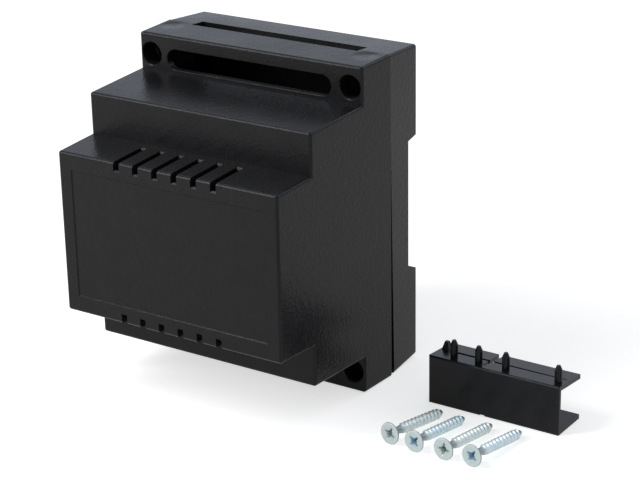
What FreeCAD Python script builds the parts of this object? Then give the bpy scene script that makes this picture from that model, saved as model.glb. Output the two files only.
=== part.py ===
import FreeCAD, Part
import math
import os

# A four-module DIN rail enclosure: rear tray, stepped cover, rail clip and four cover screws.
# Lengths are in millimetres and angles in degrees.
# X runs along the rail, the stepped front faces -Y and +Z is up.
# The origin is the middle of the rail seat's floor, on the rail's centre line.

Vec = FreeCAD.Vector

# Depth of the closed housing, and the steps of the cover along Y; the base takes the rest
housing_depth = 65.3
nose_run = 14.4
shoulder_run = 22.8
shelf_run = 13.1
base_depth = housing_depth - nose_run - shoulder_run - shelf_run

# Heights where each step meets the one behind it, and the angles that they taper by
shelf_height = 90.4
shoulder_height = 69.9
nose_height = 45.6
shelf_draft = 1.2
shoulder_draft = 2.3
nose_draft = 2.6

# Width of the cover at the seam, and how both halves taper away from it
cover_width = 71.0
cover_side_draft = 1.5
base_inset = 0.1
base_side_draft = 3.5
base_top_draft = 3.2

# Skin of both halves
wall = 2.0
outer_round = 0.8

# Rail seat across the back
rail_width = 35.0
rail_play = 0.4
rail_lip = 1.0
seat_depth = 4.9
seat_above_middle = 1.2
seat_lead_top = 0.8
seat_lead_bottom = 2.2

# Fixed hooks over the rail's upper lip
hook_width = 9.0
hook_spacing = 38.0
hook_reach = 1.8
hook_play = 0.4
hook_thickness = 1.6

# Lap joint at the seam
lip_height = 2.4
lip_play = 0.15
skin_at_seam = 0.95
seam_gap_low = 1.7
seam_gap_start = 28.0

# Screw towers in the cover's corners and bosses in the base's
screw_from_side = 4.1
screw_from_end = 6.0
tower_wall = 1.3
head_play = 0.2
head_flare = 0.3
head_depth = 5.4
shank_play = 0.15
pilot_bite = 0.25
pilot_spare = 0.6
boss_wall = 1.9

# Cover screws, countersunk with a cross recess
screw_length = 20.4
head_diameter = 5.8
head_rim = 0.35
thread_diameter = 2.9
neck_diameter = 2.2
neck_length = 1.3
tip_diameter = 1.2
tip_length = 1.6
recess_width = 0.75
recess_span = 3.3
recess_depth = 1.5

# Terminal openings of the shelf, and the wire openings above and below them
terminal_length = 52.0
terminal_height = 5.6
terminal_above_foot = 0.8
terminal_shift = -0.2
terminal_bevel = 0.15
wire_opening_length = 52.8
wire_opening_in_cover = 1.4
wire_opening_in_base = 3.6

# Ventilation slots across the top and bottom edges of the nose
vent_count = 6
vent_width = 1.8
vent_pitch = 6.05
vent_cut = 2.2
vent_end_gap = 3.2
vent_end_ramp = 0.5
vent_scoop = 1.6
vent_flare = 0.4

# Label field of the front
label_width = 60.0
label_height = 34.6
label_depth = 0.3
label_slope = 40.0

# Pillars for a circuit board inside the base
board_spacing_x = 46.0
board_spacing_z = 52.0
pillar_diameter = 5.0
pillar_hole = 2.0
pillar_hole_depth = 6.0
pillar_top_below_seam = 3.0

# Rail clip, a channel with cut flanges and four grooved pins
clip_length = 38.0
clip_depth = 12.1
clip_height = 13.7
clip_flange_drop = 1.1
clip_wall = 1.25
clip_corner = 0.6
clip_slit_wide = 1.2
clip_slit_narrow = 0.5
clip_slit_middle = 6.2
clip_slit_start = 3.4
clip_slit_end_gap = 1.0
clip_cut_narrow = 0.8
clip_cut_wide = 1.7
clip_cut_middle = 15.2
clip_cut_start = 2.3
clip_notch_depth = 0.5
clip_pin_places = (6.1, 13.4, 21.3, 36.3)
clip_pin_setback = 2.9
clip_pin_diameter = 2.0
clip_pin_height = 4.6
clip_pin_grooves = 6
clip_groove_depth = 0.15
clip_pin_nose = 1.2
clip_pin_flat = 1.0
clip_groove_width = 0.3
clip_nib_size = 2.8
clip_nib_height = 1.4
clip_nib_x = 1.5
clip_nib_y = 7.3

# Sockets of the base that the clip's pins press into
socket_play = 0.05
socket_spare = 0.6
socket_wall = 1.6
socket_above_edge = 13.0

# Where the clip lies on the surface that the housing stands on: its near corner and its turn
clip_x = 52.0
clip_y = -18.8
clip_turn = -0.2

# Where the screws lie: the middle of each head and the way the screw points
screw_heads = ((55.7, -44.5), (63.1, -45.0), (71.5, -44.9), (79.2, -44.4))
screw_turns = (80.4, 82.4, 83.6, 82.3)

# Places that follow from the sizes above
middle_z = -seat_above_middle
back_y = seat_depth
seam_y = back_y - base_depth
shelf_y = seam_y - shelf_run
shoulder_y = shelf_y - shoulder_run
front_y = shoulder_y - nose_run
floor_z = middle_z - shelf_height / 2
screw_spacing_x = cover_width - 2 * screw_from_side
screw_spacing_z = shelf_height - 2 * screw_from_end
seat_height = rail_width + rail_play
seat_top_z = seat_height / 2
seat_bottom_z = -seat_height / 2
overlap = 1.0


def tangent(angle):
    return math.tan(math.radians(angle))


def box(low_x, high_x, low_y, high_y, low_z, high_z):
    """A box between two corners."""
    return Part.makeBox(high_x - low_x, high_y - low_y, high_z - low_z, Vec(low_x, low_y, low_z))


def cylinder_y(radius, low_y, high_y, x, z):
    """A round bar along Y."""
    return Part.makeCylinder(radius, high_y - low_y, Vec(x, low_y, z), Vec(0, 1, 0))


def corner_post(half, low_y, high_y, x, z):
    """A square post along Y that fills a corner of the housing from its inner faces outwards."""
    side = math.copysign(1, x)
    end = math.copysign(1, z - middle_z)
    low_x, high_x = sorted((x - side * half, side * cover_width))
    low_z, high_z = sorted((z - end * half, end * shelf_height))
    return box(low_x, high_x, low_y, high_y, low_z, high_z)


def joined(shapes):
    """One solid from touching or overlapping ones."""
    return shapes[0].fuse(shapes[1:]).removeSplitter() if len(shapes) > 1 else shapes[0]


def polygon_face(points):
    return Part.Face(Part.makePolygon(points + points[:1]))


def rectangle(half_x, y, half_z):
    """Corners of a rectangle about the middle of the housing."""
    corners = [(-half_x, -half_z), (half_x, -half_z), (half_x, half_z), (-half_x, half_z)]
    return [Vec(x, y, middle_z + z) for x, z in corners]


def tapered_block(half_x, half_z, low_y, high_y):
    """A flat-sided block whose half width and half height are straight functions of Y."""
    low = rectangle(half_x(low_y), low_y, half_z(low_y))
    high = rectangle(half_x(high_y), high_y, half_z(high_y))
    sides = [polygon_face([low[i - 1], low[i], high[i], high[i - 1]]) for i in range(4)]
    return Part.makeSolid(Part.makeShell([polygon_face(low), polygon_face(high)] + sides))


def prism_x(points, low_x, high_x):
    """An outline in Y and Z, drawn out along X."""
    return polygon_face([Vec(low_x, y, z) for y, z in points]).extrude(Vec(high_x - low_x, 0, 0))


def mirrored_z(shape):
    """The same shape on the other side of the housing's middle height."""
    return shape.mirror(Vec(0, 0, middle_z), Vec(0, 0, 1))


def both_z(shapes):
    """The shapes, and the same again below the housing's middle height."""
    return shapes + [mirrored_z(shape) for shape in shapes]


def edges_off_plane(shape, y):
    """Edges that don't lie in the plane at Y."""
    return [edge for edge in shape.Edges
            if max(abs(vertex.Y - y) for vertex in edge.Vertexes) > 0.01]


def edges_on_plane(shape, y):
    return [edge for edge in shape.Edges
            if max(abs(vertex.Y - y) for vertex in edge.Vertexes) < 0.01]


def corner_places(spacing_x, spacing_z):
    """The four places of a rectangle about the middle of the housing."""
    return [(side * spacing_x / 2, middle_z + end * spacing_z / 2)
            for side in (-1, 1) for end in (-1, 1)]


# Half widths and half heights of the outer skin at each depth

def cover_half_x(y):
    return cover_width / 2 - (seam_y - y) * tangent(cover_side_draft)


def shelf_half_z(y):
    return shelf_height / 2 - (seam_y - y) * tangent(shelf_draft)


def shoulder_half_z(y):
    return shoulder_height / 2 - (shelf_y - y) * tangent(shoulder_draft)


def nose_half_z(y):
    return nose_height / 2 - (shoulder_y - y) * tangent(nose_draft)


def base_half_x(y):
    return cover_width / 2 - base_inset - (y - seam_y) * tangent(base_side_draft)


def base_half_z(y):
    return shelf_height / 2 - base_inset - (y - seam_y) * tangent(base_top_draft)


def inset(half, amount):
    """The same skin, moved inwards."""
    return lambda y: half(y) - amount


screw_places = corner_places(screw_spacing_x, screw_spacing_z)
board_places = corner_places(board_spacing_x, board_spacing_z)
tower_half = head_diameter / 2 + head_play + tower_wall
boss_half = thread_diameter / 2 + boss_wall
cone_length = (head_diameter - neck_diameter) / 2
screw_reach_y = shelf_y + head_depth + screw_length


# Cover

def cover_step(half_z, low_y, high_y):
    """One step of the cover with rounded edges, reaching back into the next."""
    block = tapered_block(cover_half_x, half_z, low_y, high_y)
    return block.makeFillet(outer_round, edges_off_plane(block, high_y))


def cover_outside():
    return joined([
        cover_step(nose_half_z, front_y, shoulder_y + wall),
        cover_step(shoulder_half_z, shoulder_y, shelf_y + wall),
        cover_step(shelf_half_z, shelf_y, seam_y),
    ])


def cover_inside():
    """The hollow of the cover, open at the seam."""
    inner_x = inset(cover_half_x, wall)
    return joined([
        tapered_block(inner_x, inset(nose_half_z, wall), front_y + wall, shoulder_y + 2 * wall),
        tapered_block(inner_x, inset(shoulder_half_z, wall), shoulder_y + wall, shelf_y + 2 * wall),
        tapered_block(inner_x, inset(shelf_half_z, wall), shelf_y + wall, seam_y + overlap),
    ])


def seam_rebate():
    """The step inside the rim that takes the base's lip."""
    inner_x = inset(cover_half_x, skin_at_seam)
    inner_z = inset(shelf_half_z, skin_at_seam)
    return tapered_block(inner_x, inner_z, seam_y - lip_height - lip_play, seam_y + overlap)


def screw_way(x, z):
    """Head well with a flared rim, countersink and clearance hole of one cover screw."""
    head_y = shelf_y + head_depth
    well_radius = head_diameter / 2 + head_play
    flare = Part.makeCone(well_radius + 2 * head_flare, well_radius, 2 * head_flare,
                          Vec(x, shelf_y - head_flare, z), Vec(0, 1, 0))
    well = cylinder_y(well_radius, shelf_y - overlap, head_y + head_rim, x, z)
    seat = Part.makeCone(well_radius, neck_diameter / 2, cone_length + head_play,
                         Vec(x, head_y + head_rim, z), Vec(0, 1, 0))
    hole = cylinder_y(thread_diameter / 2 + shank_play, head_y, seam_y + overlap, x, z)
    return joined([flare, well, seat, hole])


def terminal_opening():
    """The long round-ended opening in the shelf's upper riser."""
    radius = terminal_height / 2
    foot_z = middle_z + shoulder_height / 2
    z = foot_z + terminal_above_foot + radius
    reach = terminal_length / 2 - radius
    low_y = shelf_y - overlap
    high_y = shelf_y + wall + overlap
    ends = [cylinder_y(radius, low_y, high_y, terminal_shift + side * reach, z) for side in (-1, 1)]
    middle = box(terminal_shift - reach, terminal_shift + reach, low_y, high_y, z - radius, z + radius)
    return joined([middle] + ends)


def vent_slot(x):
    """A slot over the nose's upper edge, with a flared mouth in front and a scooped, ramped end on top."""
    end_y = shoulder_y - vent_end_gap
    top_z = middle_z + nose_half_z(front_y)
    floor = top_z - vent_cut
    low = Vec(x - vent_width / 2, front_y - overlap, floor - overlap - vent_flare)
    mouth = Vec(low.x, front_y + vent_flare, floor)
    foot = Vec(low.x, end_y - vent_scoop, floor)
    rise = Vec(low.x, end_y, floor + vent_scoop)
    bend = Vec(low.x, end_y - vent_scoop * (1 - math.sin(math.pi / 4)),
               floor + vent_scoop * (1 - math.cos(math.pi / 4)))
    ramp = Vec(low.x, end_y, middle_z + nose_half_z(end_y) - vent_end_ramp)
    ramp_top = Vec(low.x, end_y + 2 * overlap, ramp.z + 2 * overlap)
    low_top = Vec(low.x, low.y, ramp_top.z)
    outline = Part.Wire([
        Part.LineSegment(low, mouth).toShape(),
        Part.LineSegment(mouth, foot).toShape(),
        Part.Arc(foot, bend, rise).toShape(),
        Part.LineSegment(rise, ramp).toShape(),
        Part.LineSegment(ramp, ramp_top).toShape(),
        Part.LineSegment(ramp_top, low_top).toShape(),
        Part.LineSegment(low_top, low).toShape(),
    ])
    return Part.Face(outline).extrude(Vec(vent_width, 0, 0))


def label_field():
    """The shallow field of the front, with sloped sides."""
    floor_y = front_y + label_depth

    def half_x(y):
        return label_width / 2 + (floor_y - y) * tangent(label_slope)

    def half_z(y):
        return label_height / 2 + (floor_y - y) * tangent(label_slope)

    return tapered_block(half_x, half_z, front_y - overlap, floor_y)


def terminal_rims(shell):
    """The front edges of both terminal openings."""
    reach = terminal_length / 2 + overlap
    return [edge for edge in edges_on_plane(shell, shelf_y)
            if abs(edge.CenterOfMass.x - terminal_shift) < reach
            and terminal_above_foot / 2 < abs(edge.CenterOfMass.z - middle_z) - shoulder_height / 2
            < 2 * terminal_above_foot + terminal_height]


def wire_opening():
    """The long opening across the seam, in the upper walls of both halves."""
    low_z = middle_z + shelf_height / 2 - 2 * wall
    return box(-wire_opening_length / 2, wire_opening_length / 2, seam_y - wire_opening_in_cover,
               seam_y + wire_opening_in_base, low_z, low_z + 4 * wall)


def cover():
    towers = [corner_post(tower_half, shelf_y, seam_y, x, z) for x, z in screw_places]
    vents = [vent_slot((i - (vent_count - 1) / 2) * vent_pitch) for i in range(vent_count)]
    shell = cover_outside()
    shell = shell.cut(cover_inside().cut(towers))
    shell = shell.cut(seam_rebate().cut(towers))
    shell = shell.cut(both_z([terminal_opening()]))
    shell = shell.makeChamfer(terminal_bevel, terminal_rims(shell))
    shell = shell.cut([screw_way(x, z) for x, z in screw_places])
    shell = shell.cut(both_z([wire_opening()] + vents))
    return shell.cut(label_field()).removeSplitter()


# Base

def base_outside():
    block = tapered_block(base_half_x, base_half_z, seam_y, back_y)
    return block.makeFillet(outer_round, edges_off_plane(block, seam_y))


def seat_outline(skin):
    """The rail seat's section in Y and Z, grown by a skin on its inner sides."""
    return [
        (back_y + overlap, seat_top_z + seat_lead_top * (1 + overlap / seat_depth) + skin),
        (-skin, seat_top_z + skin),
        (-skin, seat_bottom_z - skin),
        (back_y + overlap, seat_bottom_z - seat_lead_bottom * (1 + overlap / seat_depth) - skin),
    ]


def rail_seat(skin):
    return prism_x(seat_outline(skin), -cover_width, cover_width)


def rail_hook(x):
    """A hook that stands in the seat and reaches down behind the rail's upper lip."""
    lip_y = rail_lip + hook_play
    root_z = seat_top_z + wall
    tip_z = seat_top_z - hook_reach
    outline = [
        (lip_y, root_z),
        (lip_y, tip_z + hook_thickness / 2),
        (lip_y + hook_thickness / 4, tip_z),
        (lip_y + hook_thickness, tip_z),
        (back_y, tip_z + hook_reach),
        (back_y, root_z),
    ]
    return prism_x(outline, x - hook_width / 2, x + hook_width / 2)


def lip_gap():
    """Leaves the lip out in front of the wire opening."""
    low_z = middle_z + shelf_height / 2 - 2 * wall
    return box(-wire_opening_length / 2, wire_opening_length / 2, seam_y - lip_height - overlap,
               seam_y, low_z, low_z + 4 * wall)


def seam_lip():
    """The lip that stands inside the cover's rim, cut back round the screw towers."""
    outer_x = cover_half_x(seam_y) - skin_at_seam - lip_play
    outer_z = shelf_half_z(seam_y) - skin_at_seam - lip_play
    front = seam_y - lip_height
    root_y = seam_y + lip_height / 2
    block = tapered_block(lambda y: outer_x, lambda y: outer_z, front, root_y)
    hollow = tapered_block(inset(base_half_x, wall), inset(base_half_z, wall),
                           front - overlap, root_y + overlap)
    towers = [corner_post(tower_half + lip_play, front - overlap, seam_y, x, z) for x, z in screw_places]
    return block.cut([hollow] + towers)


def seam_shadow():
    """The gap outside the lip that widens from partway down to the bottom of the seam."""
    start_z = middle_z + seam_gap_start
    low_z = floor_z - overlap
    depth = seam_gap_low * (start_z - low_z) / (start_z - floor_z)
    wedge = prism_x([(seam_y, start_z), (seam_y + depth, low_z), (seam_y - overlap, low_z),
                     (seam_y - overlap, start_z)], -cover_width, cover_width)
    lip_x = cover_half_x(seam_y) - skin_at_seam - lip_play
    lip_z = shelf_half_z(seam_y) - skin_at_seam - lip_play
    core = tapered_block(lambda y: lip_x, lambda y: lip_z,
                         seam_y - 2 * overlap, seam_y + seam_gap_low + overlap)
    return wedge.cut(core)


def socket_places():
    """The clip's pins, set about the middle of the housing's width."""
    z = middle_z - base_half_z(back_y) + socket_above_edge
    return [(place - clip_length / 2, z) for place in clip_pin_places]


def socket_bar():
    """The bar behind the lower land that holds the clip's sockets."""
    half = clip_pin_diameter / 2 + socket_play + socket_wall
    places = socket_places()
    z = places[0][1]
    return box(places[0][0] - half, places[-1][0] + half, back_y - wall - overlap - socket_depth(),
               back_y - wall, z - half, z + half)


def socket_depth():
    return clip_pin_height + socket_spare - wall


def base():
    cavity = tapered_block(inset(base_half_x, wall), inset(base_half_z, wall),
                           seam_y - overlap, back_y - wall)
    bosses = [corner_post(boss_half, seam_y, back_y, x, z) for x, z in screw_places]
    pillar_y = seam_y + pillar_top_below_seam
    pillars = [cylinder_y(pillar_diameter / 2, pillar_y, back_y, x, z) for x, z in board_places]
    cavity = cavity.cut([rail_seat(wall), socket_bar()] + bosses + pillars)
    tray = base_outside().cut(cavity)
    tray = tray.fuse(seam_lip())
    hooks = [rail_hook(side * hook_spacing / 2) for side in (-1, 1)]
    tray = tray.cut(rail_seat(0)).fuse(hooks)
    pilot = thread_diameter / 2 - pilot_bite
    cuts = [cylinder_y(pilot, seam_y - overlap, screw_reach_y + pilot_spare, x, z) for x, z in screw_places]
    cuts += [cylinder_y(pillar_hole / 2, pillar_y - overlap, pillar_y + pillar_hole_depth, x, z)
             for x, z in board_places]
    cuts += [cylinder_y(clip_pin_diameter / 2 + socket_play, back_y - clip_pin_height - socket_spare,
                        back_y + overlap, x, z) for x, z in socket_places()]
    cuts += both_z([wire_opening(), lip_gap()])
    cuts.append(seam_shadow())
    return tray.cut(cuts)


# Rail clip, drawn with its near corner at the origin and its web along X

def clip_pin(x, y):
    """A grooved pin with a bevelled nose, rooted in the flange."""
    outer = clip_pin_diameter / 2
    foot_z = clip_height - clip_wall / 2
    shoulder_z = clip_height + clip_pin_height - clip_pin_nose
    tip_z = clip_height + clip_pin_height
    outline = [
        Vec(x, y, foot_z),
        Vec(x + outer, y, foot_z),
        Vec(x + outer, y, shoulder_z),
        Vec(x + clip_pin_flat / 2, y, tip_z),
        Vec(x, y, tip_z),
    ]
    pin = polygon_face(outline).revolve(Vec(x, y, foot_z), Vec(0, 0, 1), 360)
    grooves = []
    for i in range(clip_pin_grooves):
        groove = box(x + outer - clip_groove_depth, x + outer + overlap, y - clip_groove_width / 2,
                     y + clip_groove_width / 2, clip_height, shoulder_z)
        groove.rotate(Vec(x, y, foot_z), Vec(0, 0, 1), 360 * (i + 0.5) / clip_pin_grooves)
        grooves.append(groove)
    return pin.cut(grooves)


def clip_nib():
    """The small faceted nib at the slit's closed end."""
    half = clip_nib_size / 2
    low_z = clip_height - clip_flange_drop - clip_wall / 2
    foot = [Vec(clip_nib_x + sx * half, clip_nib_y + sy * half, low_z)
            for sx, sy in ((-1, -1), (1, -1), (1, 1), (-1, 1))]
    top = [Vec(clip_nib_x + (sx - 0.3) * half * 0.35, clip_nib_y + (sy + 0.6) * half * 0.35,
               clip_height + clip_nib_height)
           for sx, sy in ((-1, -1), (1, -1), (1, 1), (-1, 1))]
    return Part.makeLoft([Part.makePolygon(foot + foot[:1]), Part.makePolygon(top + top[:1])], True, True)


def clip_channel():
    """The web with both flanges; the upper one drops towards its free edge."""
    drop_at_web = clip_flange_drop * clip_wall / clip_depth
    outline = [
        (0, 0),
        (clip_depth, 0),
        (clip_depth, clip_wall),
        (clip_wall, clip_wall),
        (clip_wall, clip_height - clip_wall - drop_at_web),
        (clip_depth, clip_height - clip_wall - clip_flange_drop),
        (clip_depth, clip_height - clip_flange_drop),
        (0, clip_height),
    ]
    channel = prism_x(outline, 0, clip_length)
    return channel.makeFillet(clip_corner, edges_on_plane(channel, 0))


def clip_slot(corners, low_z):
    """A cut through one flange, drawn in X and Y."""
    outline = [Vec(x, y, low_z - overlap) for x, y in corners]
    return polygon_face(outline).extrude(Vec(0, 0, clip_flange_drop + clip_wall + 2 * overlap))


def rail_clip():
    slit_end = clip_length - clip_slit_end_gap
    slit = [
        (clip_slit_start, clip_slit_middle - clip_slit_wide / 2),
        (slit_end, clip_slit_middle - clip_slit_narrow / 2),
        (slit_end, clip_slit_middle + clip_slit_narrow / 2),
        (clip_slit_start, clip_slit_middle + clip_slit_wide / 2),
    ]
    cut = [
        (clip_cut_middle - clip_cut_narrow / 2, clip_cut_start),
        (clip_cut_middle + clip_cut_narrow / 2, clip_cut_start),
        (clip_cut_middle + clip_cut_wide / 2, clip_depth + overlap),
        (clip_cut_middle - clip_cut_wide / 2, clip_depth + overlap),
    ]
    upper_z = clip_height - clip_flange_drop - clip_wall
    notch = box(clip_cut_middle, clip_cut_middle + 2 * clip_cut_narrow, -overlap, clip_cut_start,
                -overlap, clip_notch_depth)
    channel = clip_channel()
    channel = channel.cut([clip_slot(slit, upper_z), clip_slot(cut, upper_z), clip_slot(cut, 0), notch])
    pins = [clip_pin(place, clip_pin_setback) for place in clip_pin_places]
    return joined([channel, clip_nib()] + pins)


def placed_clip():
    clip = rail_clip()
    clip.rotate(Vec(0, 0, 0), Vec(0, 0, 1), clip_turn)
    clip.translate(Vec(clip_x, clip_y, floor_z))
    return clip


# Cover screw, drawn with its head's face at the origin and its tip towards +Y

def cross_recess():
    """A tapered cross in the head's face."""
    arms = []
    for turn in (0, 90):
        foot = recess_width * 0.3
        outline = [(-recess_span / 2, -overlap), (recess_span / 2, -overlap), (recess_span / 2, 0),
                   (foot, recess_depth), (-foot, recess_depth), (-recess_span / 2, 0)]
        corners = [Vec(x, y, -recess_width / 2) for x, y in outline]
        arm = polygon_face(corners).extrude(Vec(0, 0, recess_width))
        arm.rotate(Vec(0, 0, 0), Vec(0, 1, 0), turn + 22)
        arms.append(arm)
    return joined(arms)


def cover_screw():
    radius = thread_diameter / 2
    neck = neck_diameter / 2
    neck_y = head_rim + cone_length
    outline = [
        (0, 0),
        (head_diameter / 2, 0),
        (head_diameter / 2, head_rim),
        (neck, neck_y),
        (neck, neck_y + neck_length),
        (radius, neck_y + neck_length),
        (radius, screw_length - tip_length),
        (tip_diameter / 2, screw_length),
        (0, screw_length),
    ]
    body = polygon_face([Vec(x, y, 0) for x, y in outline]).revolve(Vec(0, 0, 0), Vec(0, 1, 0), 360)
    return body.cut(cross_recess())


def placed_screw(head, turn):
    """A screw on its side, resting on its head's rim and on the end of its thread."""
    drop = head_diameter / 2 - thread_diameter / 2
    lean = math.degrees(math.atan(drop / (screw_length - tip_length - head_rim)))
    screw = cover_screw()
    screw.rotate(Vec(0, 0, 0), Vec(1, 0, 0), -lean)
    screw.rotate(Vec(0, 0, 0), Vec(0, 0, 1), turn - 90)
    lowest = screw.optimalBoundingBox(False, False).ZMin
    screw.translate(Vec(head[0], head[1], floor_z - lowest))
    return screw


def cover_screws():
    return Part.makeCompound([placed_screw(head, turn) for head, turn in zip(screw_heads, screw_turns)])


os.makedirs("parts", exist_ok=True)

parts = {
    "base": base(),
    "cover": cover(),
    "rail_clip": placed_clip(),
    "cover_screws": cover_screws(),
}

for name, shape in parts.items():
    shape.exportStep("parts/" + name + ".step")
    size = shape.optimalBoundingBox(False, False)
    print(name, len(shape.Solids), "solid", shape.isValid(), round(shape.Volume, 1), "mm3",
          [round(value, 2) for value in (size.XMin, size.XMax, size.YMin, size.YMax, size.ZMin, size.ZMax)])
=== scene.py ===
import bmesh
import bpy
import math
from mathutils import Matrix, Vector


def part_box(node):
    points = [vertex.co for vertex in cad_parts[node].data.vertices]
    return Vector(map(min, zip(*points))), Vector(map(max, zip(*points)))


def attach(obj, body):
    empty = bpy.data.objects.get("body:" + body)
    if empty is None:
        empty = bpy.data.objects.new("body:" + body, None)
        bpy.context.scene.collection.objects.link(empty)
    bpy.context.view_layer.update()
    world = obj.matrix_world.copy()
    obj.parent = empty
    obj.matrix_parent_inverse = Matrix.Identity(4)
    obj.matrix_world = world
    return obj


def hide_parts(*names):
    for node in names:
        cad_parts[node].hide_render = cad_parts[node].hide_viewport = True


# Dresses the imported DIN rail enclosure: moulded plastic on the housing and its clip, cover screws with real threads,
# a pale floor and soft light. Lengths are in metres in the frame of the CAD: X along the rail, the stepped front
# towards -Y, +Z up.

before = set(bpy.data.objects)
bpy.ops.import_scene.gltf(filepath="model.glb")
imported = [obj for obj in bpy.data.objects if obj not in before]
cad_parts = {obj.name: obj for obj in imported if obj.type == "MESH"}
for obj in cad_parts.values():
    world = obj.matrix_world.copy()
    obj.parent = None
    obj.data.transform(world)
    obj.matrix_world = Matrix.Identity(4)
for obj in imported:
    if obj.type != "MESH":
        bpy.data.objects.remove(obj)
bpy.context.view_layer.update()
cover_low, cover_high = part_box("cover")
floor_z = cover_low.z
seam_y = cover_high.y
mm = 0.001

# Camera, at the photograph's place and angle, for a picture of 640 by 480
picture_width = 640
focal_pixels = 1962.0
camera_place = Vector((0.286671, -0.422728, 0.180729))
camera_right = Vector((0.836802, 0.547247, -0.016823))
camera_forward = Vector((-0.515424, 0.777034, -0.361326))

# Light: a tall softbox over the front left, a small one behind the right that draws the edges, and an even studio
# round them. Each softbox has a name, a place, a width, a height and a radiance.
softboxes = (
    ("front_softbox", Vector((-0.35, -0.42, 0.44)), 0.20, 0.62, 8.0),
    ("edge_softbox", Vector((0.22, 0.46, 0.33)), 0.20, 0.20, 1.6),
)
studio_strength = 0.35
studio_colour = (0.93, 0.96, 1.0, 1.0)
mirrored_studio_colour = (0.74, 0.79, 0.90, 1.0)
white = (1.0, 1.0, 1.0, 1.0)

# Floor: its own colour, and what is added to it where the camera or a reflection sees it
floor_reach = 2.0
floor_colour = (0.86, 0.86, 0.86, 1.0)
floor_glow_seen = 0.62
floor_glow_mirrored = 0.40

# Plastics. The coarse grain and the pits are in grain sizes, and the depths of the bumps in grain depths.
housing_black = (0.0132, 0.0132, 0.0139, 1.0)
housing_dark = (0.0100, 0.0100, 0.0108, 1.0)
housing_grain = 0.55 * mm
housing_grain_depth = 0.036 * mm
housing_roughness = 0.265
housing_specular = 0.16
clip_black = (0.0115, 0.0115, 0.0126, 1.0)
clip_dark = (0.0088, 0.0088, 0.0100, 1.0)
clip_grain = 0.6 * mm
clip_grain_depth = 0.006 * mm
clip_roughness = 0.24
clip_specular = 0.2
coarse_grain = 3.0
pit_size = 1.3
pit_share = 0.5
coarse_depth = 1.1
fine_depth = 1.35
swell_depth = 1.5
swell_size = 14 * mm
mottle_size = 5 * mm
roughness_spread = 0.03

# Sink marks on the outside of the screw towers
sink_places_x = (-31.0 * mm, 30.4 * mm)
sink_from_seam = 4.0 * mm
sink_radius = 4.4 * mm
sink_depth = 0.22 * mm
sink_wrinkle = 2.2 * mm
sink_wrinkle_depth = 2.0 * sink_depth

# Zinc plating: its pale colour, painted shade on the head's face, its rim and the neck, and for every other screw its
# cast and the recess's tint with painted shade
zinc_pale = (0.86, 0.92, 0.91, 1.0)
shaded_head_face = (0.60, 0.67, 0.66, 1.0)
rim_shade_grey = (0.38, 0.43, 0.44, 1.0)
neck_shade_grey = (0.36, 0.42, 0.43, 1.0)
# Each pair: the plating's cast, and the recess's colour, its own teal tint darkened as painted shade
zinc_casts = (
    ((0.78, 0.85, 0.80, 1.0), (0.32, 0.41, 0.38, 1.0)),
    ((0.66, 0.83, 0.90, 1.0), (0.24, 0.42, 0.52, 1.0)),
)
zinc_patch = 1.6 * mm
zinc_texture = 0.3 * mm
zinc_texture_depth = 0.012 * mm
zinc_roughness = (0.40, 0.54)
zinc_metallic = 0.7

# Cover screws, as the CAD lays them, in millimetres and degrees: the middle of each head, and the way it points
screw_heads = ((55.7, -44.5), (63.1, -45.0), (71.5, -44.9), (79.2, -44.4))
screw_turns = (80.4, 82.4, 83.6, 82.3)
screw_spins = (22.0, 40.0, 5.0, 31.0)
screw_length = 20.4
head_radius = 2.9
head_rim = 0.35
neck_radius = 0.95
thread_radius = 1.45
root_radius = 1.02
thread_start = 3.8
thread_pitch = 1.4
thread_run_in = 1.1
tip_taper = 2.1
tip_radius = 0.7
rest_before_tip = 1.6
sides_round = 72
sharp_angle = 38.0

# A quarter of the recess's outline, between two of its arms, with a short spike in the middle
recess_quarter = ((1.62, -0.26), (1.70, 0.0), (1.62, 0.26), (0.72, 0.40), (0.76, 0.76), (0.40, 0.72))
# The recess's wall from its floor to the face: the share of the outline, and the depth
recess_wall = ((0.30, 1.75), (0.58, 1.45), (0.93, 0.25), (1.0, 0.05), (1.04, 0.0))
recess_floor = 1.9
# One turn of the thread: how far along the pitch, and how far from the root to the crest
thread_section = ((0.0, 0.0), (0.26, 0.04), (0.46, 0.93), (0.52, 1.0), (0.60, 1.0), (0.66, 0.93), (0.90, 0.04))


# Camera and light

def make_camera():
    data = bpy.data.cameras.new("camera")
    data.sensor_width = 36.0
    data.lens = focal_pixels * data.sensor_width / picture_width
    data.clip_start = 0.01
    data.clip_end = 10.0
    camera = bpy.data.objects.new("camera", data)
    bpy.context.scene.collection.objects.link(camera)
    right = camera_right.normalized()
    back = (-camera_forward).normalized()
    up = back.cross(right)
    turn = Matrix((right, up, back)).transposed().to_4x4()
    camera.matrix_world = Matrix.Translation(camera_place) @ turn
    bpy.context.scene.camera = camera


def make_softbox(name, place, width, height, radiance):
    """An even rectangle of light that faces the housing."""
    data = bpy.data.lights.new(name, "AREA")
    data.shape = "RECTANGLE"
    data.size = width
    data.size_y = height
    data.energy = radiance * math.pi * width * height
    lamp = bpy.data.objects.new(name, data)
    bpy.context.scene.collection.objects.link(lamp)
    lamp.location = place
    lamp.rotation_euler = (-place).to_track_quat("-Z", "Y").to_euler()


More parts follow.
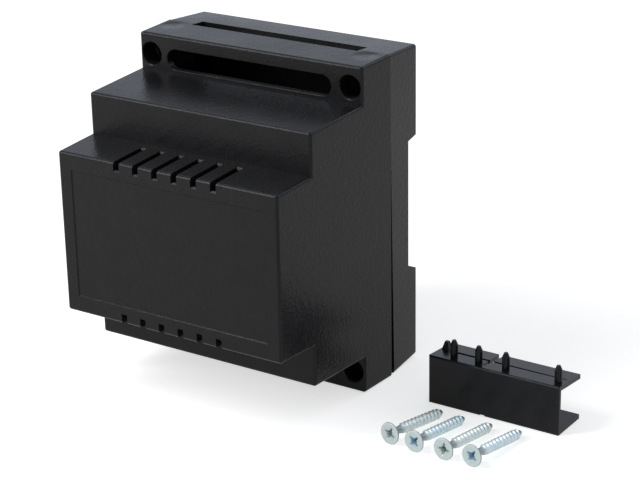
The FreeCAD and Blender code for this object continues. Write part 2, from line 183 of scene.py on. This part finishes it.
def make_world():
    """White where it is seen, bright where it is mirrored, and an even pale light everywhere else."""
    world = bpy.data.worlds.new("studio")
    world.use_nodes = True
    bpy.context.scene.world = world
    nodes, links = world.node_tree.nodes, world.node_tree.links
    nodes.clear()

    def background(colour, strength):
        node = nodes.new("ShaderNodeBackground")
        node.inputs["Color"].default_value = colour
        node.inputs["Strength"].default_value = strength
        return node.outputs["Background"]

    def switched(factor, first, second):
        node = nodes.new("ShaderNodeMixShader")
        links.new(factor, node.inputs["Fac"])
        links.new(first, node.inputs[1])
        links.new(second, node.inputs[2])
        return node.outputs["Shader"]

    path = nodes.new("ShaderNodeLightPath")
    mirrored = combined(nodes, links, "MAXIMUM", path.outputs["Is Glossy Ray"], path.outputs["Is Transmission Ray"])
    light = switched(mirrored, background(studio_colour, studio_strength), background(mirrored_studio_colour, 1.0))
    light = switched(path.outputs["Is Camera Ray"], light, background(white, 1.0))
    output = nodes.new("ShaderNodeOutputWorld")
    links.new(light, output.inputs["Surface"])


def make_floor():
    """A pale floor that lies at the housing's lowest point and runs out of sight into white."""
    mesh = bpy.data.meshes.new("floor")
    corners = ((-1, -1), (1, -1), (1, 1), (-1, 1))
    mesh.from_pydata([(x * floor_reach, y * floor_reach, floor_z) for x, y in corners], [], [(0, 1, 2, 3)])
    floor = bpy.data.objects.new("floor", mesh)
    bpy.context.scene.collection.objects.link(floor)
    mesh.materials.append(floor_material())


def floor_material():
    """Matt and pale, raised to white where it is seen or mirrored, so that only the shadow shows on it."""
    material = bpy.data.materials.new("pale_floor")
    material.use_nodes = True
    nodes, links = material.node_tree.nodes, material.node_tree.links
    nodes.clear()
    path = nodes.new("ShaderNodeLightPath")
    seen = combined(nodes, links, "MULTIPLY", path.outputs["Is Camera Ray"], floor_glow_seen)
    mirrored = combined(nodes, links, "MAXIMUM", path.outputs["Is Glossy Ray"], path.outputs["Is Transmission Ray"])
    mirrored = combined(nodes, links, "MULTIPLY", mirrored, floor_glow_mirrored)
    strength = combined(nodes, links, "ADD", seen, mirrored)
    matt = nodes.new("ShaderNodeBsdfDiffuse")
    matt.inputs["Color"].default_value = floor_colour
    glow = nodes.new("ShaderNodeEmission")
    links.new(strength, glow.inputs["Strength"])
    both = nodes.new("ShaderNodeAddShader")
    links.new(matt.outputs["BSDF"], both.inputs[0])
    links.new(glow.outputs["Emission"], both.inputs[1])
    output = nodes.new("ShaderNodeOutputMaterial")
    links.new(both.outputs["Shader"], output.inputs["Surface"])
    return material


# Nodes that the materials share

def new_material(name):
    """An empty node material with its shader, and the lists that its nodes and links go into."""
    material = bpy.data.materials.new(name)
    material.use_nodes = True
    nodes, links = material.node_tree.nodes, material.node_tree.links
    nodes.clear()
    shader = nodes.new("ShaderNodeBsdfPrincipled")
    output = nodes.new("ShaderNodeOutputMaterial")
    links.new(shader.outputs["BSDF"], output.inputs["Surface"])
    return material, nodes, links, shader


def noise(nodes, links, place, size, detail, roughness=0.5):
    """Noise whose grains are about the given size."""
    node = nodes.new("ShaderNodeTexNoise")
    node.inputs["Scale"].default_value = 1.0 / size
    node.inputs["Detail"].default_value = detail
    node.inputs["Roughness"].default_value = roughness
    links.new(place, node.inputs["Vector"])
    return node.outputs["Fac"]


def ranged(nodes, links, value, low, high, to_low, to_high, eased=False):
    """The value's range from low to high, moved to another range, and held at its ends."""
    node = nodes.new("ShaderNodeMapRange")
    if eased:
        node.interpolation_type = "SMOOTHSTEP"
    node.inputs["From Min"].default_value = low
    node.inputs["From Max"].default_value = high
    node.inputs["To Min"].default_value = to_low
    node.inputs["To Max"].default_value = to_high
    links.new(value, node.inputs["Value"])
    return node.outputs["Result"]


def combined(nodes, links, operation, first, second):
    """A sum, product or other operation on two values, where the second may be a plain number."""
    node = nodes.new("ShaderNodeMath")
    node.operation = operation
    links.new(first, node.inputs[0])
    if isinstance(second, float):
        node.inputs[1].default_value = second
    else:
        links.new(second, node.inputs[1])
    return node.outputs["Value"]


def distance(nodes, links, first, second):
    """The length of two sides at right angles."""
    squares = [combined(nodes, links, "POWER", side, 2.0) for side in (first, second)]
    return combined(nodes, links, "POWER", combined(nodes, links, "ADD", *squares), 0.5)


def mixed_colour(nodes, links, factor, first, second):
    """Two colours mixed by a factor, where the first may come from another node."""
    node = nodes.new("ShaderNodeMix")
    node.data_type = "RGBA"
    if isinstance(first, bpy.types.NodeSocket):
        links.new(first, node.inputs["A"])
    else:
        node.inputs["A"].default_value = first
    node.inputs["B"].default_value = second
    links.new(factor, node.inputs["Factor"])
    return node.outputs["Result"]


def bump(nodes, links, shader, heights):
    """Adds up bumps, each a height and its depth in metres, and turns the shader's normal by them."""
    normal = None
    for height, depth in heights:
        node = nodes.new("ShaderNodeBump")
        node.inputs["Strength"].default_value = 1.0
        node.inputs["Distance"].default_value = depth
        links.new(height, node.inputs["Height"])
        if normal:
            links.new(normal, node.inputs["Normal"])
        normal = node.outputs["Normal"]
    links.new(normal, shader.inputs["Normal"])


# Plastics

def sink_marks(nodes, links, place, spots):
    """-1 along the middles of round dents that run along Z, rising to 0 at their radius."""
    parts = nodes.new("ShaderNodeSeparateXYZ")
    links.new(place, parts.inputs["Vector"])
    dents = None
    for x, y in spots:
        across = combined(nodes, links, "SUBTRACT", parts.outputs["X"], x)
        along = combined(nodes, links, "SUBTRACT", parts.outputs["Y"], y)
        reach = distance(nodes, links, across, along)
        dent = ranged(nodes, links, reach, 0.0, sink_radius, -1.0, 0.0, eased=True)
        dents = combined(nodes, links, "ADD", dents, dent) if dents else dent
    return dents


def plastic(name, dark, light, grain_size, grain_depth, roughness, specular, spots):
    """Moulded plastic with a spark-eroded grain, flow marks in its gloss, a faint mottle and sink marks on spots."""
    material, nodes, links, shader = new_material(name)
    place = nodes.new("ShaderNodeTexCoord").outputs["Object"]
    fine = noise(nodes, links, place, grain_size, 3.0, 0.6)
    coarse = noise(nodes, links, place, coarse_grain * grain_size, 1.0)
    pits = nodes.new("ShaderNodeTexVoronoi")
    pits.inputs["Scale"].default_value = 1.0 / (pit_size * grain_size)
    links.new(place, pits.inputs["Vector"])
    swell = noise(nodes, links, place, swell_size, 1.0)
    mottle = noise(nodes, links, place, mottle_size, 3.0, 0.6)
    pitted = combined(nodes, links, "MULTIPLY", pits.outputs["Distance"], pit_share)
    grain = combined(nodes, links, "ADD", fine, pitted)
    heights = [(coarse, coarse_depth * grain_depth), (grain, fine_depth * grain_depth),
               (swell, swell_depth * grain_depth)]
    if spots:
        dents = sink_marks(nodes, links, place, spots)
        wrinkles = combined(nodes, links, "MULTIPLY", dents, noise(nodes, links, place, sink_wrinkle, 2.0))
        heights += [(dents, sink_depth), (wrinkles, sink_wrinkle_depth)]
    bump(nodes, links, shader, heights)
    flow = ranged(nodes, links, swell, 0.35, 0.65, roughness - roughness_spread, roughness + roughness_spread)
    speckle = ranged(nodes, links, fine, 0.3, 0.7, -roughness_spread, roughness_spread)
    links.new(combined(nodes, links, "ADD", flow, speckle), shader.inputs["Roughness"])
    patches = ranged(nodes, links, mottle, 0.3, 0.7, 0.0, 1.0)
    links.new(mixed_colour(nodes, links, patches, dark, light), shader.inputs["Base Color"])
    shader.inputs["Specular IOR Level"].default_value = specular
    return material


# Zinc plating

def zinc(name, cast, recess_tint_and_shade, screw_frame):
    """Bright zinc plating with a faint cast and a fine tumbled texture, laid along a screw that points along +Y."""
    material, nodes, links, shader = new_material(name)
    along_screw = nodes.new("ShaderNodeMapping")
    along_screw.vector_type = "TEXTURE"
    along_screw.inputs["Location"].default_value = screw_frame.to_translation()
    along_screw.inputs["Rotation"].default_value = screw_frame.to_euler("XYZ")
    links.new(nodes.new("ShaderNodeTexCoord").outputs["Object"], along_screw.inputs["Vector"])
    place = along_screw.outputs["Vector"]
    patches = noise(nodes, links, place, zinc_patch, 2.0)
    tumbled = noise(nodes, links, place, zinc_texture, 2.0)
    bump(nodes, links, shader, [(tumbled, zinc_texture_depth)])
    parts = nodes.new("ShaderNodeSeparateXYZ")
    links.new(place, parts.inputs["Vector"])
    depth = parts.outputs["Y"]
    reach = distance(nodes, links, parts.outputs["X"], parts.outputs["Z"])
    # Where shade is painted: the head's face, its rim, and the neck behind the head
    face = ranged(nodes, links, depth, 0.03 * mm, 0.12 * mm, 1.0, 0.0)
    rim = ranged(nodes, links, reach, (head_radius - 0.16) * mm, (head_radius - 0.05) * mm, 0.0, 1.0)
    behind_head = ranged(nodes, links, depth, 1.6 * mm, 2.6 * mm, 0.0, 1.0)
    before_thread = ranged(nodes, links, depth, thread_start * mm, (thread_start + 1.2) * mm, 1.0, 0.0)
    neck = combined(nodes, links, "MULTIPLY", behind_head, before_thread)
    cone = combined(nodes, links, "ADD", reach, combined(nodes, links, "MULTIPLY", depth, 0.6))
    inside = ranged(nodes, links, cone, 2.15 * mm, 2.2 * mm, 1.0, 0.0)
    # Painted shade that deepens into the recess, over the recess's own tint
    recess_shade_depth = ranged(nodes, links, depth, 0.05 * mm, 1.5 * mm, 0.1, 1.0)
    recess = combined(nodes, links, "MULTIPLY", inside, recess_shade_depth)
    colour = mixed_colour(nodes, links, ranged(nodes, links, patches, 0.35, 0.7, 0.0, 1.0), zinc_pale, cast)
    # Painted shade over the plating on the head's face, its rim and the neck, then the recess's tint with its painted
    # shade
    for layer, layer_colour in ((face, shaded_head_face), (rim, rim_shade_grey), (neck, neck_shade_grey), (recess, recess_tint_and_shade)):
        colour = mixed_colour(nodes, links, layer, colour, layer_colour)
    links.new(colour, shader.inputs["Base Color"])
    links.new(ranged(nodes, links, tumbled, 0.3, 0.7, *zinc_roughness), shader.inputs["Roughness"])
    shader.inputs["Metallic"].default_value = zinc_metallic
    return material


# Cover screws, drawn in millimetres along +Y with the head's face at the origin. A point is an angle round the screw,
# a distance from its axis and a depth below the face.

def recess_outline():
    """Corners of the cross recess round the face, as angle and distance."""
    corners = []
    for quarter in range(4):
        for x, z in recess_quarter:
            angle = math.atan2(z, x) + quarter * math.pi / 2
            corners.append((angle % (2 * math.pi), math.hypot(x, z)))
    return sorted(corners)


def outline_reach(corners, angle):
    """Distance from the middle to the outline's straight sides at an angle."""
    for i, (second, second_reach) in enumerate(corners):
        first, first_reach = corners[i - 1]
        if i == 0:
            first -= 2 * math.pi
        for turn in (0.0, 2 * math.pi):
            if first - 1e-9 <= angle - turn <= second + 1e-9:
                x1, z1 = first_reach * math.cos(first), first_reach * math.sin(first)
                x2, z2 = second_reach * math.cos(second), second_reach * math.sin(second)
                x, z = math.cos(angle), math.sin(angle)
                return (x1 * z2 - x2 * z1) / (x * (z2 - z1) - z * (x2 - x1))
    return corners[0][1]


def screw_angles(corners):
    """Even steps round the screw, with the recess's corners among them."""
    angles = [angle for angle, reach in corners]
    even = [2 * math.pi * i / sides_round for i in range(sides_round)]
    kept = [angle for angle in even if min(abs(angle - other) for other in angles) > 0.02]
    return sorted(angles + kept)


def head_rings(angles, corners):
    """Rings of points from the recess's floor over the face, the rim and the underside to the neck."""
    reaches = [outline_reach(corners, angle) for angle in angles]
    rings = []
    for share, depth in recess_wall:
        rings.append([(angle, reach * share, depth) for angle, reach in zip(angles, reaches)])
    neck_depth = head_rim + head_radius - neck_radius
    plain = [(head_radius - 0.5, 0.0), (head_radius - 0.12, 0.0), (head_radius - 0.03, 0.05),
             (head_radius, 0.14), (head_radius, head_rim - 0.05), (head_radius - 0.06, head_rim + 0.04),
             (neck_radius + 0.12, neck_depth - 0.12), (neck_radius, neck_depth + 0.08)]
    for radius, depth in plain:
        rings.append([(angle, radius, depth) for angle in angles])
    return rings


def eased(value):
    """0 to 1 with soft ends."""
    value = min(1.0, max(0.0, value))
    return value * value * (3 - 2 * value)


def thread_point(angle, depth, height):
    """A point of the thread: its height is 0 at the root and 1 at the crest."""
    depth = min(screw_length, max(thread_start, depth))
    narrowing = 1.0 - eased((depth - screw_length + tip_taper) / tip_taper)
    root = tip_radius + (root_radius - tip_radius) * narrowing
    crest = tip_radius + (thread_radius - tip_radius) * narrowing ** 0.7
    root = neck_radius + (root - neck_radius) * eased((depth - thread_start) / 0.4)
    run_in = eased((depth - thread_start) / (thread_run_in * thread_pitch))
    return (angle, root + (crest - root) * height * run_in, depth)


def thread_rows(angles):
    """Rows that climb once round the screw, each a place in the thread's section."""
    turns = int((screw_length - thread_start) / thread_pitch) + 3
    rows = []
    for turn in range(turns):
        for place, height in thread_section:
            low = thread_start + thread_pitch * (turn - 1 + place)
            rows.append([thread_point(angle, low + thread_pitch * angle / (2 * math.pi), height)
                         for angle in angles])
    return rows


def screw_mesh():
    """One screw: rings for the head, rows along the thread, and a cap at the tip."""
    corners = recess_outline()
    angles = screw_angles(corners)
    count = len(angles)
    shape = bmesh.new()

    def point(angle, radius, depth):
        return shape.verts.new((radius * math.cos(angle) * mm, depth * mm, radius * math.sin(angle) * mm))

    rings = [[point(*place) for place in ring] for ring in head_rings(angles, corners)]
    middle = point(0.0, 0.0, recess_floor)
    for i in range(count):
        shape.faces.new((middle, rings[0][i - 1], rings[0][i]))
    for low, high in zip(rings, rings[1:]):
        for i in range(count):
            shape.faces.new((low[i - 1], high[i - 1], high[i], low[i]))
    rows = [[point(*place) for place in row] for row in thread_rows(angles)]
    start = [point(*thread_point(angle, thread_start, 0.0)) for angle in angles]
    for i in range(count):
        shape.faces.new((rings[-1][i - 1], start[i - 1], start[i], rings[-1][i]))
    last = len(rows) - 1
    for m in range(last):
        for i in range(count - 1):
            shape.faces.new((rows[m][i], rows[m + 1][i], rows[m + 1][i + 1], rows[m][i + 1]))
        near, far = min(m + len(thread_section), last), min(m + 1 + len(thread_section), last)
        if near < far:
            shape.faces.new((rows[m][-1], rows[m + 1][-1], rows[far][0], rows[near][0]))
    shape.faces.new(rows[-1])
    bmesh.ops.remove_doubles(shape, verts=shape.verts, dist=1e-6)
    bmesh.ops.dissolve_degenerate(shape, edges=shape.edges, dist=1e-7)
    bmesh.ops.recalc_face_normals(shape, faces=shape.faces)
    return shape


def screw_place(head, turn):
    """Laid down as in the CAD: on the head's rim and on the end of the thread."""
    drop = head_radius - thread_radius
    lean = math.atan(drop / (screw_length - rest_before_tip - head_rim))
    tilt = Matrix.Rotation(math.radians(turn - 90.0), 4, "Z") @ Matrix.Rotation(-lean, 4, "X")
    lowest = -head_radius * math.cos(lean) - head_rim * math.sin(lean)
    return Matrix.Translation((head[0] * mm, head[1] * mm, floor_z - lowest * mm)) @ tilt


def make_screws():
    """The four screws, each with its own plating; the casts take turns."""
    for i, (head, turn, spin) in enumerate(zip(screw_heads, screw_turns, screw_spins)):
        name = "threaded_screw_%d" % (i + 1)
        screw_frame = screw_place(head, turn) @ Matrix.Rotation(math.radians(spin), 4, "Y")
        shape = screw_mesh()
        shape.transform(screw_frame)
        mesh = bpy.data.meshes.new(name)
        shape.to_mesh(mesh)
        shape.free()
        for polygon in mesh.polygons:
            polygon.use_smooth = True
        mesh.set_sharp_from_angle(angle=math.radians(sharp_angle))
        cast, recess_tint_and_shade = zinc_casts[i % len(zinc_casts)]
        mesh.materials.append(zinc("zinc_plating_%d" % (i + 1), cast, recess_tint_and_shade, screw_frame))
        screw = bpy.data.objects.new(name, mesh)
        bpy.context.scene.collection.objects.link(screw)
        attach(screw, "base")
        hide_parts("cover_screws")


def dress(node, material):
    """Gives the whole of a CAD node one material."""
    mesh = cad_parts[node].data
    mesh.materials.clear()
    mesh.materials.append(material)
    for polygon in mesh.polygons:
        polygon.material_index = 0


make_camera()
for softbox in softboxes:
    make_softbox(*softbox)
make_world()
make_floor()

sink_spots = [(x, seam_y - sink_from_seam) for x in sink_places_x]
housing = plastic("black_housing_plastic", housing_dark, housing_black, housing_grain, housing_grain_depth,
                  housing_roughness, housing_specular, sink_spots)
clip = plastic("black_clip_plastic", clip_dark, clip_black, clip_grain, clip_grain_depth,
               clip_roughness, clip_specular, [])
dress("base", housing)
dress("cover", housing)
dress("rail_clip", clip)
dress("cover_screws", zinc("zinc_plating", zinc_pale, zinc_pale, Matrix()))
make_screws()

bpy.context.scene.view_settings.view_transform = "Standard"
